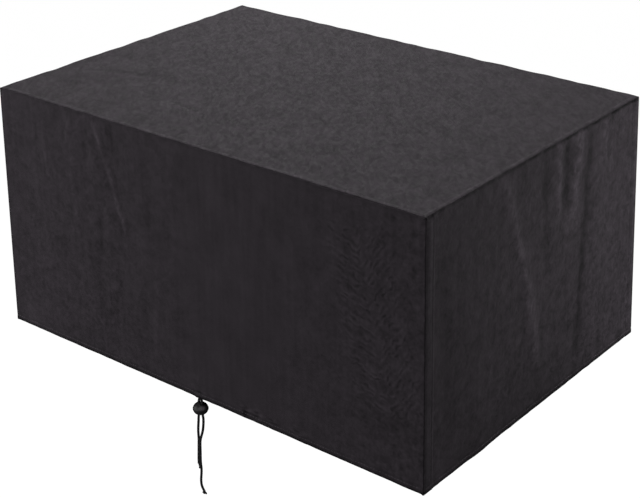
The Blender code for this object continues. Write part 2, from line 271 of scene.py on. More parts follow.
def makeWeaveGroup():
    # plain weave with slubs, blotches, specks, streaks and strokes, from a place in metres on the cloth
    group = bpy.data.node_groups.new("plainWeave", "ShaderNodeTree")
    face = group.interface
    face.new_socket("Place", in_out="INPUT", socket_type="NodeSocketVector")
    face.new_socket("Grain Place", in_out="INPUT", socket_type="NodeSocketVector")
    face.new_socket("Colour", in_out="INPUT", socket_type="NodeSocketColor")
    for name in ("Rubbed", "Coarse", "Relief", "Yarn Pitch", "Mottle", "Specks", "Streaks", "Strokes"):
        face.new_socket(name, in_out="INPUT", socket_type="NodeSocketFloat")
    face.new_socket("Colour", in_out="OUTPUT", socket_type="NodeSocketColor")
    face.new_socket("Height", in_out="OUTPUT", socket_type="NodeSocketFloat")
    face.new_socket("Roughness", in_out="OUTPUT", socket_type="NodeSocketFloat")
    add = nodeMaker(group)

    def maths(operation, *values):
        return add("ShaderNodeMath", dict(enumerate(values)), operation=operation).outputs[0]

    def times(first, second):
        return maths("MULTIPLY", first, second)

    def minus(first, second):
        return maths("SUBTRACT", first, second)

    def timesPlus(first, second, more):
        return maths("MULTIPLY_ADD", first, second, more)

    def soften(*values):
        return mapRange(add, *values, "SMOOTHSTEP")

    def noiseAt(name, vector):
        scale, detail, distortion = clothNoises[name]
        values = {"Vector": vector, "Scale": scale, "Detail": detail, "Distortion": distortion}
        return add("ShaderNodeTexNoise", values).outputs["Fac"]

    def thread(value):
        # a curling line wherever the noise passes its middle value
        return soften(maths("ABSOLUTE", minus(value, 0.5)), 0.0, weaveLook["speckWidth"], 1.0, 0.0)

    given = add("NodeGroupInput").outputs
    split = add("ShaderNodeSeparateXYZ", {"Vector": given["Place"]}).outputs
    turns = maths("DIVIDE", math.pi, given["Yarn Pitch"])
    waves = [maths("SINE", times(split[axis], turns)) for axis in ("X", "Y")]
    ribs = maths("ADD", maths("ABSOLUTE", waves[0]), maths("ABSOLUTE", waves[1]))
    weave = timesPlus(times(waves[0], waves[1]), weaveLook["crossing"], ribs)
    patches, blots, pale, dark = [noiseAt(name, given["Grain Place"])
                                  for name in ("patches", "blots", "pale", "dark")]
    slubs = noiseAt("slubs", given["Place"])
    clouds = noiseAt("clouds", given["Place"])
    stretch = (1.0, weaveLook["streakStretch"], 1.0)
    drawn = vectorMaths(add, "MULTIPLY", {0: given["Place"], 1: stretch})[0]
    grain = timesPlus(slubs, weaveLook["slubShade"], patches)
    grain = timesPlus(blots, weaveLook["blotShade"], grain)
    grain = times(minus(grain, weaveLook["grainMiddle"]), given["Mottle"])
    specks = times(minus(thread(pale), thread(dark)), given["Specks"])
    shade = timesPlus(maths("ADD", grain, specks), given["Coarse"], 1.0)
    shade = timesPlus(minus(clouds, 0.5), weaveLook["cloudShade"], shade)
    shade = timesPlus(minus(noiseAt("streaks", drawn), 0.5), given["Streaks"], shade)
    # the strokes: bands across the height that turn up on both sides of a leaning middle line
    middle = timesPlus(split["Y"], strokeShape["lean"], strokeShape["across"])
    aside = minus(split["X"], middle)
    rise = maths("MAXIMUM", times(aside, strokeShape["riseRight"]), times(aside, strokeShape["riseLeft"]))
    wobble = timesPlus(dark, strokeShape["wobble"][0], split["Y"])
    wobble = timesPlus(blots, strokeShape["wobble"][1], wobble)
    stroke = maths("SINE", times(minus(wobble, rise), strokeShape["turns"]))
    for value, edge, start, end in ((aside, "left", 0.0, 1.0), (aside, "right", 1.0, 0.0),
                                    (split["Y"], "top", 1.0, 0.0), (split["Y"], "foot", 0.0, 1.0),
                                    (pale, "patchy", strokeShape["faintest"], 1.0)):
        stroke = times(stroke, soften(value, *strokeShape[edge], start, end))
    stroke = times(stroke, given["Strokes"])
    # the colour is scaled by the panel's painted light and shade: painted highlights on ridges and edges,
    # painted shade in seams, creases and towards the hem
    shade = times(maths("ADD", shade, stroke), maths("ADD", given["Rubbed"], 1.0))
    shade = times(shade, soften(weave, 0.0, 2.0, *weaveLook["yarnShade"]))
    shade = maths("MAXIMUM", shade, weaveLook["darkest"])
    tinted = vectorMaths(add, "SCALE", {0: given["Colour"], "Scale": shade})[0]
    relief = timesPlus(blots, weaveLook["blotHeight"], times(patches, weaveLook["patchHeight"]))
    height = timesPlus(slubs, weaveLook["slubHeight"], times(weave, weaveLook["yarnHeight"]))
    height = timesPlus(relief, times(given["Coarse"], given["Relief"]), height)
    height = timesPlus(stroke, weaveLook["strokeHeight"], height)
    roughness = soften(patches, 0.25, 0.75, *weaveLook["roughness"])
    add("NodeGroupOutput", {"Colour": tinted, "Height": height, "Roughness": roughness})
    return group


def makeClothMaterial(name, finish, cloth):
    material, tree, add, shader = newMaterial(name)
    place = add("ShaderNodeUVMap", uv_map="clothPlace").outputs["UV"]
    grainTurn = (0.0, 0.0, math.radians(cloth["grainTurn"]))
    grainPlace = add("ShaderNodeMapping", {"Vector": place, "Scale": (*cloth["grain"], 1.0),
                                           "Rotation": grainTurn}, vector_type="TEXTURE")
    given = {"Place": place, "Grain Place": grainPlace.outputs["Vector"], "Yarn Pitch": finish["yarnPitch"],
             "Colour": (*finish["colour"], 1.0)}
    for key in ("mottle", "relief", "specks", "streaks", "strokes"):
        given[key.title()] = cloth[key]
    for attribute in ("rubbed", "coarse"):
        given[attribute.title()] = add("ShaderNodeAttribute", attribute_name=attribute).outputs["Fac"]
    weave = add("ShaderNodeGroup", node_tree=weaveGroup)
    fillInputs(tree, weave, given)
    bump = add("ShaderNodeBump", {"Strength": finish["bump"], "Distance": finish["bumpDepth"],
                                  "Height": weave.outputs["Height"]})
    fillInputs(tree, shader, {
        "Base Color": weave.outputs["Colour"], "Roughness": weave.outputs["Roughness"],
        "Normal": bump.outputs["Normal"], "Specular IOR Level": finish["specular"],
        "Sheen Weight": finish["sheen"], "Sheen Roughness": finish["sheenRoughness"]})
    return material


# the thread's, the cord's and the lock's uneven tone and wear
plainLook = {"noise": (0.25, 0.75), "detail": 3.0, "shade": (0.75, 1.25), "patchiness": 0.08, "bump": 0.5}


def makePlainMaterial(name, colour, roughness, specular, grainScale, grainDepth):
    material, tree, add, shader = newMaterial(name)
    place = add("ShaderNodeTexCoord").outputs["Object"]
    grain = add("ShaderNodeTexNoise", {"Vector": place, "Scale": grainScale, "Detail": plainLook["detail"]})
    grain = grain.outputs["Fac"]
    shade = mapRange(add, grain, *plainLook["noise"], *plainLook["shade"])
    patchiness = plainLook["patchiness"]
    worn = mapRange(add, grain, *plainLook["noise"], roughness - patchiness, roughness + patchiness)
    tinted = vectorMaths(add, "SCALE", {0: colour, "Scale": shade})[0]
    bump = add("ShaderNodeBump", {"Strength": plainLook["bump"], "Distance": grainDepth, "Height": grain})
    fillInputs(tree, shader, {"Base Color": tinted, "Roughness": worn, "Normal": bump.outputs["Normal"],
                              "Specular IOR Level": specular})
    return material


weaveGroup = makeWeaveGroup()
clothMaterials = {name: makeClothMaterial(name, clothFinish, cloth) for name, cloth in cloths.items()}

plainFinishes = {
    # painted highlight: the hem thread is painted paler than its own near-black, for the glints on its
    # stitches
    "sewingThread": {"colour": (0.066, 0.057, 0.066), "roughness": 0.55, "specular": 0.4,
                     "grainScale": 900.0, "grainDepth": 0.0001},
    "braidedCord": {"colour": (0.013, 0.012, 0.013), "roughness": 0.70, "specular": 0.3,
                    "grainScale": 700.0, "grainDepth": 0.0002},
    "bandThread": {"colour": (0.031, 0.027, 0.031), "roughness": 0.75, "specular": 0.2,
                   "grainScale": 900.0, "grainDepth": 0.0001},
    "lockPlastic": {"colour": (0.013, 0.012, 0.013), "roughness": 0.52, "specular": 0.35,
                    "grainScale": 500.0, "grainDepth": 0.00005},
}
plainMaterials = {name: makePlainMaterial(name, **finish) for name, finish in plainFinishes.items()}

print("cloth panels")

# Each wall runs from its start corner to its end corner, anticlockwise from above.
# topGroove: how deep the top seam draws the cloth in; topPaintedShade: how dark the painted shade there is,
# at start and end
# sidePaintedShade: how dark and how wide the painted shade is at the start seam and at the end seam
# The other rows give a value at places along the wall:
# footPaintedLight: how much lighter or darker it is painted towards its hem, painted light and painted shade;
# coarse: how strong the blotches are
# wide: how far apart the mesh's columns are
walls = {
    "frontPanel": {
        "node": "front_panel", "start": ("left", "front"), "end": ("right", "front"), "seed": 3.0,
        "turnedSeam": False, "topGroove": 0.0003, "topPaintedShade": (0.10, 0.16),
        "sidePaintedShade": ((0.40, 0.0050), (0.04, 0.0045)),
        "footPaintedLight": ((0.0, 0.02), (0.05, 0.20), (0.17, 0.13), (0.30, 0.0), (0.90, 0.03), (1.10, 0.14),
                      (1.22, 0.10)),
        "coarse": ((0.0, 0.72), (0.20, 0.78), (0.35, 0.95), (0.44, 0.72), (0.54, 0.60), (0.64, 0.22),
                   (0.80, 0.20), (0.90, 0.46), (0.98, 0.58), (1.03, 0.74), (1.22, 1.02)),
        "wide": ((0.060, 0.0032), (0.400, 0.0032), (0.420, 0.0068), (0.590, 0.0068), (0.600, 0.0018),
                 (0.634, 0.0018), (0.645, 0.0068), (0.715, 0.0068), (0.725, 0.0036), (0.930, 0.0036),
                 (0.945, 0.0068), (1.160, 0.0068))},
    "rightPanel": {
        "node": "right_panel", "start": ("right", "front"), "end": ("right", "back"), "seed": 17.0,
        "turnedSeam": True, "topGroove": 0.0021, "topPaintedShade": (0.35, 0.95),
        "sidePaintedShade": ((0.12, 0.0110), (0.50, 0.0060)),
        "footPaintedLight": ((0.0, 0.10), (0.09, 0.02), (0.17, -0.17), (0.27, -0.25), (0.37, -0.33),
                      (0.48, -0.41), (0.60, -0.35), (0.73, -0.15), (0.878, -0.02)),
        "coarse": ((0.0, 0.90), (0.15, 0.95), (0.30, 1.15), (0.54, 1.30), (0.878, 1.35)),
        "wide": ((0.060, 0.0050), (0.500, 0.0050), (0.510, 0.0038), (0.640, 0.0038), (0.660, 0.0050),
                 (0.818, 0.0050))},
    "backPanel": {
        "node": "back_panel", "start": ("right", "back"), "end": ("left", "back"), "seed": 31.0,
        "turnedSeam": False, "topGroove": 0.0008, "topPaintedShade": (0.40, 0.40),
        "sidePaintedShade": ((0.50, 0.0060), (0.50, 0.0060)),
        "footPaintedLight": ((0.0, -0.10), (0.50, 0.05), (1.22, -0.10)),
        "coarse": ((0.0, 1.10), (0.50, 0.75), (1.22, 1.10)),
        "wide": ((0.060, 0.0085), (1.160, 0.0085))},
    "leftPanel": {
        "node": "left_panel", "start": ("left", "back"), "end": ("left", "front"), "seed": 47.0,
        "turnedSeam": True, "topGroove": 0.0014, "topPaintedShade": (0.50, 0.50),
        "sidePaintedShade": ((0.50, 0.0060), (0.40, 0.0050)),
        "footPaintedLight": ((0.0, -0.10), (0.40, 0.05), (0.878, -0.10)),
        "coarse": ((0.0, 1.10), (0.40, 0.80), (0.878, 1.0)),
        "wide": ((0.060, 0.0085), (0.818, 0.0085))},
}

# across, depth, endAcross, endDepth: where a fold's line begins and ends on its panel
# bow: how far the line bends sideways; halfWidth and height: the fold's own size
# foldLight: how much lighter or darker the fold is painted, a painted highlight along a ridge and painted
# shade along a trough
folds = {
    "frontPanel": (
        (0.290, 0.000, 0.392, 0.300, 0.012, 0.021, 0.0026, 0.00),
        (0.335, 0.010, 0.440, 0.330, 0.010, 0.024, -0.0016, -0.05),
        (0.300, -0.014, 0.408, 0.290, -0.006, 0.0068, 0.0020, 0.56),
        (0.322, 0.030, 0.420, 0.290, -0.006, 0.0090, -0.0012, -0.16),
        (0.228, 0.010, 0.248, 0.210, 0.000, 0.015, 0.0016, 0.10),
        (0.279, 0.005, 0.285, 0.130, 0.000, 0.010, -0.0012, -0.12),
        (0.358, 0.010, 0.400, 0.140, 0.000, 0.010, -0.0012, -0.10),
        (0.326, 0.190, 0.318, 0.540, 0.000, 0.013, -0.0016, -0.10),
        (0.150, 0.060, 0.140, 0.560, 0.000, 0.034, 0.0018, 0.06),
        (0.235, 0.150, 0.295, 0.560, 0.000, 0.026, 0.0018, 0.03),
        (0.483, 0.090, 0.474, 0.270, 0.000, 0.008, -0.0010, -0.12),
        (0.499, 0.310, 0.487, 0.580, 0.000, 0.007, 0.0012, 0.14),
        (0.556, 0.330, 0.545, 0.600, 0.000, 0.024, 0.0014, 0.00),
        (0.612, 0.560, 0.628, 0.640, 0.000, 0.030, 0.0020, 0.00),
        (0.060, 0.200, 0.045, 0.600, 0.000, 0.030, -0.0014, -0.03),
        (0.820, 0.070, 0.812, 0.210, 0.000, 0.012, -0.0010, -0.12),
        (0.234, 0.030, 0.211, 0.122, 0.000, 0.0060, 0.0010, 0.12),
        (0.270, 0.070, 0.274, 0.130, 0.000, 0.0060, 0.0008, 0.10),
        (0.140, 0.065, 0.157, 0.205, 0.000, 0.0060, 0.0012, 0.12),
    ),
    "rightPanel": (
        (0.247, -0.060, 0.440, 0.560, -0.024, 0.0165, 0.0026, 0.44),
        (0.380, 0.240, 0.470, 0.640, -0.006, 0.024, 0.0020, 0.03),
        (0.320, 0.020, 0.425, 0.320, -0.012, 0.024, -0.0012, 0.00),
        (0.440, -0.040, 0.462, 0.140, 0.000, 0.032, -0.0016, -0.14),
        (0.450, 0.010, 0.464, 0.330, 0.000, 0.0130, -0.0013, -0.20),
        (0.503, -0.040, 0.518, 0.200, 0.000, 0.0140, 0.0018, 0.40),
        (0.553, -0.050, 0.538, 0.195, 0.000, 0.0170, -0.0026, -0.50),
        (0.610, -0.050, 0.566, 0.245, 0.000, 0.0200, 0.0026, 0.62),
        (0.659, -0.050, 0.612, 0.620, 0.005, 0.0150, -0.0018, -0.50),
        (0.700, -0.040, 0.690, 0.600, 0.000, 0.040, 0.0022, 0.06),
        (0.706, -0.040, 0.712, 0.115, -0.003, 0.0110, 0.0014, 0.50),
        (0.048, 0.060, 0.095, 0.600, 0.000, 0.036, -0.0022, -0.10),
        (0.846, 0.060, 0.862, 0.560, 0.000, 0.028, 0.0015, 0.00),
        (0.190, 0.350, 0.210, 0.700, 0.000, 0.045, 0.0022, 0.05),
    ),
    "backPanel": (
        (0.210, -0.020, 0.170, 0.420, 0.010, 0.030, 0.0036, 0.12),
        (0.520, 0.060, 0.560, 0.680, 0.000, 0.036, -0.0032, -0.12),
        (0.700, -0.020, 0.655, 0.380, 0.000, 0.026, 0.0030, 0.12),
        (0.960, 0.080, 1.020, 0.660, -0.012, 0.032, 0.0038, 0.12),
    ),
    "leftPanel": (
        (0.180, -0.020, 0.225, 0.380, 0.010, 0.028, 0.0034, 0.12),
        (0.430, 0.060, 0.405, 0.680, 0.000, 0.034, -0.0032, -0.12),
        (0.660, -0.020, 0.620, 0.440, 0.000, 0.028, 0.0032, 0.12),
    ),
    # on the top, places are X and Y from its middle
    "topPanel": (
        (-0.560, -0.300, -0.380, -0.090, 0.006, 0.038, 0.0030, 0.00),
        (-0.510, -0.330, -0.330, -0.150, -0.004, 0.034, -0.0016, 0.00),
        (-0.255, -0.285, -0.075, -0.310, 0.004, 0.036, 0.0024, 0.06),
        (0.120, 0.260, 0.400, 0.340, 0.010, 0.045, 0.0018, 0.03),
        (-0.560, -0.229, -0.350, -0.143, 0.000, 0.0065, -0.0009, -0.24),
        (-0.548, -0.250, -0.360, -0.172, 0.004, 0.0080, 0.0010, 0.14),
        (-0.520, -0.300, -0.450, -0.262, 0.000, 0.0070, 0.0008, 0.16),
        (-0.220, -0.260, -0.115, -0.275, 0.000, 0.0055, -0.0012, -0.36),
        (-0.205, -0.282, -0.085, -0.298, 0.000, 0.0070, 0.0012, 0.26),
    ),
}

# where the front hem's stitching gathers the cloth: across, half width, depth of the puckers
gathers = ((0.752, 0.024, 0.0012), (0.812, 0.040, 0.0016), (0.905, 0.022, 0.0014), (0.622, 0.040, 0.0008))

sewing = {
    "allowance": 0.0070,        # cloth turned inside at a seam
    "gap": 0.0001,
    "sideRound": 0.00035,       # how tightly a panel's face rolls into its side seams
    "topRound": 0.0012,
    "hemRound": 0.0016,
    "hemHeight": 0.012,
    "hemBulge": 0.0004,
    "hemStep": 0.003,
    "bandWidth": 0.030,         # the seam's turned edge, sewn down beside the corner
    "bandHeight": 0.0011,
    "bandEdge": 0.003,
    "bandRise": 0.008,
    "bandStitch": 0.024,
    "ridgeStart": 0.012,        # the corner ridge grows from here and dies out further down
    "ridgeFade": 0.16,
    # where the corner ridge's painted highlight dies out
    "ridgeHighlightFade": 0.30,
    "grooveStart": 0.010,
    "puckerStart": 0.006,
    "puckerReach": 0.028,
    "wanderReach": 0.030,
    "footReach": 0.15,
    # how strongly the puckers are painted lighter and darker, painted light and painted shade
    "gatherPaintedLight": 760.0,
}

# soft ridges and grooves, and bands of painted highlight and painted shade, along a seam or the hem: how
# strong, how far from it, how wide
bands = {
    "cornerRidge": (0.0014, 0.0135, 0.0070),
    "cornerHighlight": (0.22, 0.0135, 0.0070),
    "bandStitch": (-0.0004, sewing["bandStitch"], 0.0018),
    "hemStitch": (-0.0004, sewing["hemHeight"], 0.0018),
    "groove": (1.0, 0.0040, 0.0042),
    "topRidge": (0.0008, 0.0075, 0.0035),
    "topHighlight": (0.22, 0.0075, 0.0035),
    "hemPaintedShade": (-0.80, 0.0, 0.0085),
    "hemHighlight": (0.12, 0.0125, 0.0026),
    "stitchPaintedShade": (-0.18, 0.0170, 0.0026),
    "gathers": (1.0, 0.019, 0.017),
}

# the noise in the cloth: how strong, how far apart across and down, and where it is read, to which
# a panel adds its own seed
unevenness = {
    "foldShift": (0.004, (0.055, 0.055), 31.0),
    # foldPatchiness, patchiness and topPatchiness make the painted light and shade of folds, seams and the
    # hem uneven
    "foldPatchiness": (0.9, (0.020, 0.020), 33.0),
    "ripple": (0.0010, (0.045, 0.16), 0.0),
    "pucker": (0.0006, (0.018, 0.08), 5.0),
    "sidePucker": (0.0006, (0.018, 0.08), 9.0),
    "groove": (1.2, (0.030, 0.5), 13.0),
    "patchiness": (1.4, (0.022, 0.022), 17.0),
    "gathers": (1.0, (0.017, 0.0064), 21.0),
    "topRipple": (0.0010, (0.09, 0.09), 1.0),
    "topPucker": (0.0006, (0.028, 0.028), 7.0),
    "topPatchiness": (1.4, (0.030, 0.030), 19.0),
    "wander": (0.0016, (0.042, 0.042), 73.0),   # all panels' seams rise and fall together, with no seed
}
topSeed = 60.0

# how dark and how wide the painted shade on the top's rim is at its left, right, back and front
topPaintedShade = ((0.45, 0.0055), (0.12, 0.0025), (0.45, 0.0055), (0.08, 0.0020))

# the hem's opening for the cord, under which its lower edge is pulled up
cordMouth = {
    "place": 0.001,
    "halfWidth": 0.012,
    "bulge": 0.0042,
    "push": 0.0025,
    "reach": 0.020,
    "lift": 0.0012,
    "liftWidth": 0.026,
    "slitPlace": 0.002,
    "slitWidth": 0.0055,
    "slitLift": 0.0016,
}

seamTurn = 0.75 * math.pi       # how far a panel's face turns before it lies against its neighbour's


def ease(distance, width):
    share = numpy.clip(distance / width, 0.0, 1.0)
    return share * share * (3.0 - 2.0 * share)


def press(distance, width):
    return numpy.exp(-(distance / width) ** 2)


def bandAt(use, distance):
    strength, place, width = bands[use]
    return strength * press(distance - place, width)


def unevenAt(use, first, second, seed=0.0):
    strength, pitch, place = unevenness[use]
    places = [(a / pitch[0], b / pitch[1], place + seed) for a, b in zip(first, second)]
    return strength * numpy.array([noise.noise(Vector(point)) for point in places])


def foldRelief(across, depth, rows, seed):
    # the height of all the folds together, and their painted highlights and painted shade
    height = numpy.zeros_like(across)
    rubbed = numpy.zeros_like(across)
    shift = unevenAt("foldShift", across, depth, seed)
    uneven = 1.0 + unevenAt("foldPatchiness", across, depth, seed)
    for startAcross, startDepth, endAcross, endDepth, bow, halfWidth, foldHeight, foldLight in rows:
        runAcross = endAcross - startAcross
        runDepth = endDepth - startDepth
        length = math.hypot(runAcross, runDepth)
        offAcross = across - startAcross
        offDepth = depth - startDepth
        along = (offAcross * runAcross + offDepth * runDepth) / length ** 2
        inside = (along > 0.0) & (along < 1.0)
        offLine = (offDepth * runAcross - offAcross * runDepth) / length
        offLine = offLine - bow * 4.0 * along * (1.0 - along) + shift
        fade = ease(along, coverShape["foldFade"]) * ease(1.0 - along, coverShape["foldFade"])
        share = numpy.where(inside, fade * press(offLine, halfWidth), 0.0)
        height += foldHeight * share
        # painted highlight along a ridge, painted shade along a trough
        rubbed += foldLight * share * uneven
    return height, rubbed


def topCorner(side, face):
    x = coverShape["length"] / 2 if side == "right" else -coverShape["length"] / 2
    y = coverShape["width"] / 2 if face == "back" else -coverShape["width"] / 2
    return numpy.array((x, y, coverShape["topFace"]))


def hemCorner(side, face):
    foot = coverShape["feet"][(side, face)]
    return topCorner(side, face) + numpy.array(foot) - numpy.array((0.0, 0.0, coverShape["height"]))


def wallLength(name):
    return float(numpy.linalg.norm(topCorner(*walls[name]["end"]) - topCorner(*walls[name]["start"])))


def wallOutward(name):
    run = topCorner(*walls[name]["end"]) - topCorner(*walls[name]["start"])
    return numpy.cross(run / wallLength(name), (0.0, 0.0, 1.0))


def sewnEdge(cloth, rounding):
    # A face rolls round into the seam and on inside, halfway between the two faces that meet.
    # Gives how far a place is from the corner line, along the face and out of it.
    turned = numpy.clip(cloth, 0.0, seamTurn * rounding) / rounding
    angle = 1.25 * math.pi - turned
    inside = numpy.maximum(-cloth, 0.0) / math.sqrt(2.0)
    face = numpy.maximum(cloth - seamTurn * rounding, 0.0)
    beside = rounding * (1.0 + math.sqrt(2.0) + numpy.cos(angle)) + face + inside + sewing["gap"]
    return beside, rounding * (numpy.sin(angle) - 1.0) - inside


def hemFold(down):
    # the face turns up round the hem's edge: how far down it is, and how far out
    rounding = sewing["hemRound"]
    foldAt = coverShape["height"] - rounding
    turned = numpy.clip(down - foldAt, 0.0, math.pi * rounding) / rounding
    risen = numpy.maximum(down - foldAt - math.pi * rounding, 0.0)
    return foldAt + rounding * numpy.sin(turned) - risen, rounding * (numpy.cos(turned) - 1.0), down > foldAt


def seamWander(x, y, fromSeam):
    return numpy.exp(-numpy.maximum(fromSeam, 0.0) / sewing["wanderReach"]) * unevenAt("wander", x, y)


def seamNear(distance):
    # how much the puckers beside a seam show
    return numpy.exp(-distance / sewing["puckerReach"]) * ease(distance, sewing["puckerStart"])


def wallRelief(name, across, depth, toSide, fromHem):
    # how far each place stands out from the flat wall, and how rubbed it is
    wall = walls[name]
    seed = wall["seed"]
    relief, rubbed = foldRelief(across, depth, folds[name], seed)
    free = ease(toSide, coverShape["seamStiff"]) * ease(depth, coverShape["seamStiff"])
    relief *= free
    relief += free * unevenAt("ripple", across, depth, seed)
    hemNear = numpy.exp(-fromHem / sewing["puckerReach"])
    relief += (seamNear(depth) + hemNear) * unevenAt("pucker", across, depth, seed)
    relief += seamNear(toSide) * unevenAt("sidePucker", depth, across, seed)
    ridge = bandAt("cornerRidge", toSide) * press(depth, sewing["ridgeFade"])
    relief += ridge * ease(depth, sewing["ridgeStart"])
    if wall["turnedSeam"]:
        edge = sewing["bandEdge"]
        band = ease(sewing["bandWidth"] + edge - toSide, edge * 2.0) * ease(toSide, sewing["bandRise"])
        relief += sewing["bandHeight"] * band + bandAt("bandStitch", toSide)
        # painted highlight along the corner ridge
        rubbed += bandAt("cornerHighlight", toSide) * press(depth, sewing["ridgeHighlightFade"])
    relief += sewing["hemBulge"] * ease(sewing["hemHeight"] - fromHem, sewing["hemStep"])
    relief += bandAt("hemStitch", fromHem)
    groove = bandAt("groove", depth) * (1.0 + unevenAt("groove", across, depth, seed))
    relief -= wall["topGroove"] * groove * ease(toSide, sewing["grooveStart"])
    share = across / wallLength(name)
    # painted shade in the top seam's groove
    rubbed -= (wall["topPaintedShade"][0] * (1.0 - share) + wall["topPaintedShade"][1] * share) * groove
    blotted = 1.0 + unevenAt("patchiness", across, depth, seed)
    # painted shade at the side seams, made patchy
    for (amount, width), isNear in zip(wall["sidePaintedShade"], (share < 0.5, share >= 0.5)):
        rubbed -= amount * blotted * press(toSide, width) * isNear
    # painted light and painted shade towards the hem
    rubbed += numpy.interp(across, *zip(*wall["footPaintedLight"])) * numpy.exp(-fromHem / sewing["footReach"])
    # painted shade at the hem's lower edge, a painted highlight on the hem's edge and painted shade at its
    # stitching
    rubbed += bandAt("hemPaintedShade", fromHem)
    rubbed += blotted * (bandAt("hemHighlight", fromHem) + bandAt("stitchPaintedShade", fromHem))
    if name == "frontPanel":
        drawn = sum(height * press(across - place, halfWidth) for place, halfWidth, height in gathers)
        drawn *= bandAt("gathers", fromHem) * unevenAt("gathers", across, depth, seed)
        relief += drawn
        # painted light and painted shade on the puckers
        rubbed += sewing["gatherPaintedLight"] * drawn
    return relief, rubbed


def wallSurface(name, cloth, down):
    # points on a wall's outer face, how rubbed and how coarse they are, from the distances along
    # the cloth from its start seam and from its top seam
    wall = walls[name]
    height = coverShape["height"]
    length = wallLength(name)
    fromStart, outStart = sewnEdge(cloth, sewing["sideRound"])
    fromEnd, outEnd = sewnEdge(length - cloth, sewing["sideRound"])
    beside = numpy.where(cloth < length / 2, fromStart, length - fromEnd)
    fallen, outTop = sewnEdge(down, sewing["topRound"])
    folded, outHem, isHem = hemFold(down)
    downShare = numpy.where(isHem, folded, fallen) / height
    startTop = topCorner(*wall["start"])
    endTop = topCorner(*wall["end"])
    left = startTop + numpy.outer(downShare, hemCorner(*wall["start"]) - startTop)
    right = endTop + numpy.outer(downShare, hemCorner(*wall["end"]) - endTop)
    span = numpy.linalg.norm(right - left, axis=1)
    points = left + (right - left) * (beside / length)[:, None]
    across = beside / length * span
    depth = numpy.where(down > 0.0, coverShape["topFace"] - points[:, 2], 0.0)
    fromHem = (1.0 - downShare) * height
    toSide = numpy.clip(numpy.minimum(cloth, length - cloth), 0.0, None)
    relief, rubbed = wallRelief(name, across, depth, toSide, fromHem)
    if name == "frontPanel":
        low = ease(cordMouth["reach"] - fromHem, cordMouth["reach"])
        mouth = press(points[:, 0] - cordMouth["place"], cordMouth["halfWidth"]) * low
        outHem *= 1.0 + mouth * (cordMouth["bulge"] + cordMouth["push"]) / (2.0 * sewing["hemRound"])
        relief += cordMouth["bulge"] * mouth
        lift = cordMouth["lift"] * press(points[:, 0] - cordMouth["place"], cordMouth["liftWidth"])
        lift += cordMouth["slitLift"] * press(points[:, 0] - cordMouth["slitPlace"], cordMouth["slitWidth"])
        points[:, 2] += lift * low
    points[:, 2] += seamWander(points[:, 0], points[:, 1], depth)
    coarse = numpy.interp(across, *zip(*wall["coarse"]))
    out = relief + outStart + outEnd + outTop + outHem
    return points + out[:, None] * wallOutward(name), rubbed, coarse


def placesAlong(marks):
    # places from the first mark to the last, as far apart as the marks say
    positions = [mark[0] for mark in marks]
    spacings = [mark[1] for mark in marks]
    places = [positions[0]]
    while places[-1] < positions[-1]:
        places.append(places[-1] + float(numpy.interp(places[-1], positions, spacings)))
    scale = (positions[-1] - positions[0]) / (places[-1] - positions[0])
    return [positions[0] + (place - positions[0]) * scale for place in places]


def seamMarks(rounding):
    # places beside a seam, and how far apart the mesh's lines are there
    return ((-sewing["allowance"], 0.0034), (-0.0002, 0.0010), (0.0, rounding * 0.45),
            (seamTurn * rounding, 0.0011), (0.034, 0.0014))


def mirrored(marks, length):
    return tuple((length - place, spacing) for place, spacing in reversed(marks))


def placesOf(mesh):
    flat = numpy.zeros(len(mesh.vertices) * 3)
    mesh.vertices.foreach_get("co", flat)
    return flat.reshape(-1, 3)


def addPiece(name, mesh, material, slotName, *nodes):
    mesh.materials.append(material)
    piece = addObject(name, mesh)
    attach(piece, "root")
    if nodes:
        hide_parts(*nodes)
    return piece


def makePanel(name, node, material, columns, rows, surface):
    # a grid whose columns and rows lie at the given distances on the cloth, moved onto its surface
    bm = bmesh.new()
    bmesh.ops.create_grid(bm, x_segments=len(columns) - 1, y_segments=len(rows) - 1, size=0.5)
    mesh = meshFrom(bm, name)
    flat = placesOf(mesh)
    column = numpy.rint((flat[:, 0] + 0.5) * (len(columns) - 1)).astype(int)
    row = numpy.rint((0.5 - flat[:, 1]) * (len(rows) - 1)).astype(int)
    across = numpy.array(columns)[column]
    down = numpy.array(rows)[row]
    points, rubbed, coarse = surface(across, down)
    mesh.vertices.foreach_set("co", points.ravel())
    # the painted light and shade goes onto the mesh for the cloth's colour
    for attribute, values in (("rubbed", rubbed), ("coarse", coarse)):
        mesh.attributes.new(attribute, "FLOAT", "POINT").data.foreach_set("value", values)
    place = mesh.uv_layers.new(name="clothPlace")
    corner = numpy.zeros(len(mesh.loops), dtype=int)
    mesh.loops.foreach_get("vertex_index", corner)
    place.data.foreach_set("uv", numpy.stack((across, -down), axis=1)[corner].ravel())
    mesh.update()
    mesh.shade_smooth()
    panel = addPiece(name, mesh, material, "cover_cloth", node)
    cloth = panel.modifiers.new("cloth", "SOLIDIFY")
    cloth.thickness = coverShape["cloth"]
    cloth.offset = -1.0
    return panel


def makeWall(name):
    length = wallLength(name)
    foldAt = coverShape["height"] - sewing["hemRound"]
    foldEnd = foldAt + math.pi * sewing["hemRound"]
    side = seamMarks(sewing["sideRound"])
    columns = placesAlong(side + walls[name]["wide"] + mirrored(side, length))
    rows = placesAlong(seamMarks(sewing["topRound"]) + (
        (0.070, 0.0090), (0.560, 0.0090), (foldAt - 0.024, 0.0017), (foldAt, 0.0012),
        (foldAt + 0.0001, 0.0008), (foldEnd, 0.0010), (foldEnd + 0.011, 0.0036)))
    material = clothMaterials["frontCloth" if name == "frontPanel" else "wallCloth"]
    return makePanel(name, walls[name]["node"], material, columns, rows,
                     lambda across, down: wallSurface(name, across, down))


